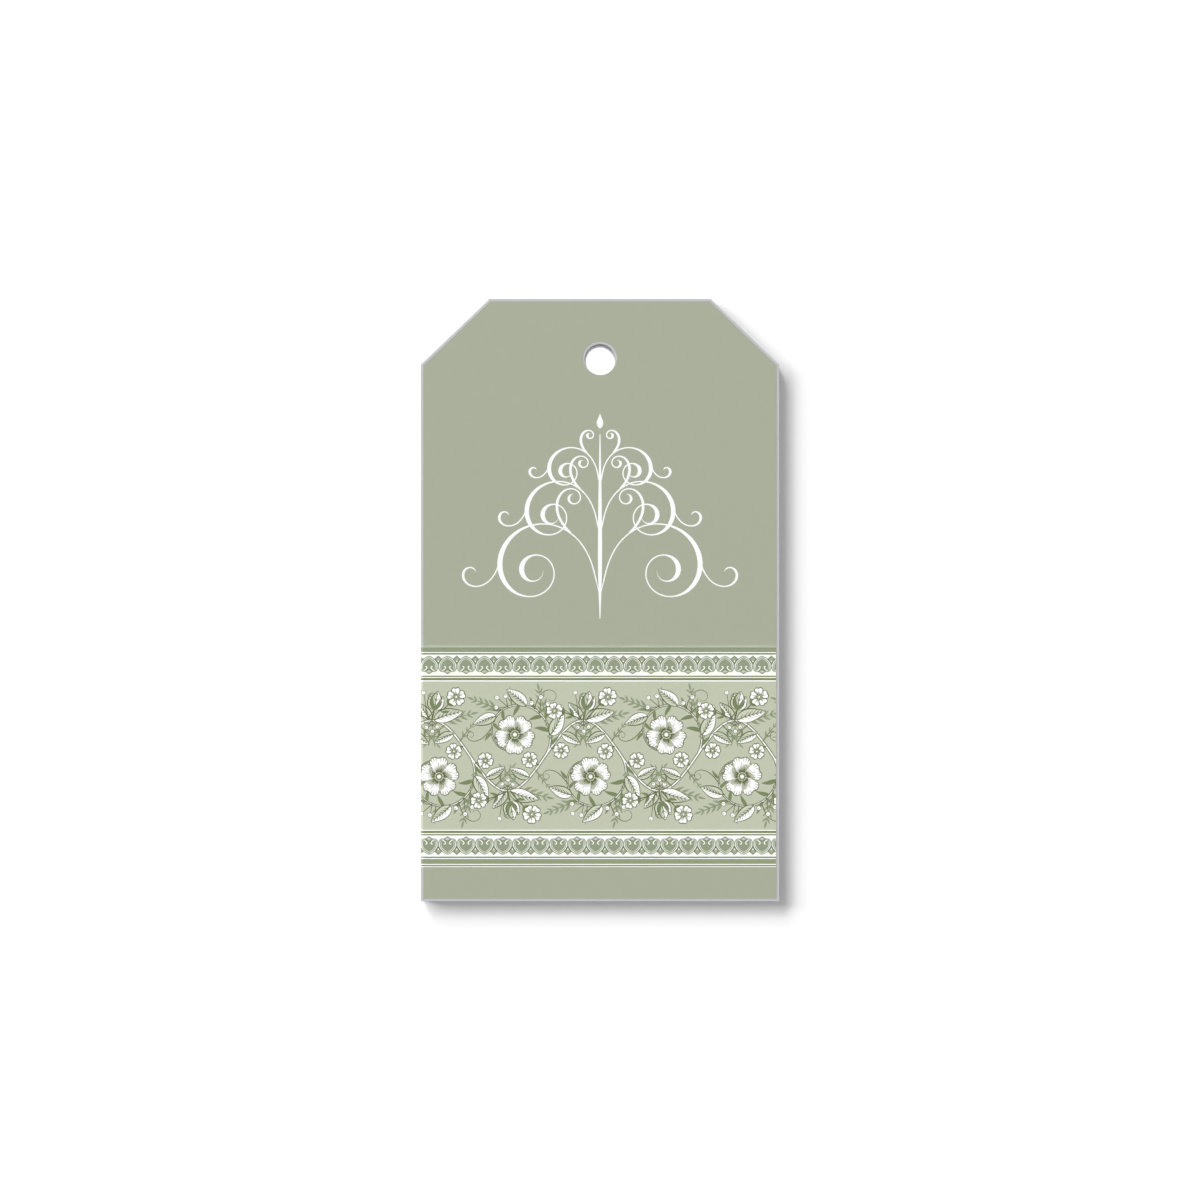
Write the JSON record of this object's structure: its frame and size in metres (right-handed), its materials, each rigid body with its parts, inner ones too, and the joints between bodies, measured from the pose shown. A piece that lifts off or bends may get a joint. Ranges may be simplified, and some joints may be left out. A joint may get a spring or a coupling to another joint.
{
  "type": "gift tag",
  "caption": "Flat luggage-style gift tag of mounted board with clipped upper corners, a narrow bare margin round its facing paper, a hanging hole and a patterned paper band pasted across its lower half.",
  "frame": {"origin": "middle of the back face, where the tag lies on a table", "axes": "+Z out of the printed front, +Y towards the end with the hanging hole, +X to the right as the front is read"},
  "size_m": [0.054, 0.0908, 0.0013],
  "materials": {
    "front_paper": "matte",
    "band_paper": "matte",
    "board": "matte",
    "back_paper": "matte",
    "paste": "satin"
  },
  "bodies": {
    "root": {"back_paper": "back_paper", "back_paste": "paste", "board_core": "board", "front_paste": "paste", "front_paper": "front_paper", "band_paste": "paste", "patterned_band": "band_paper"}
  },
  "joints": []
}
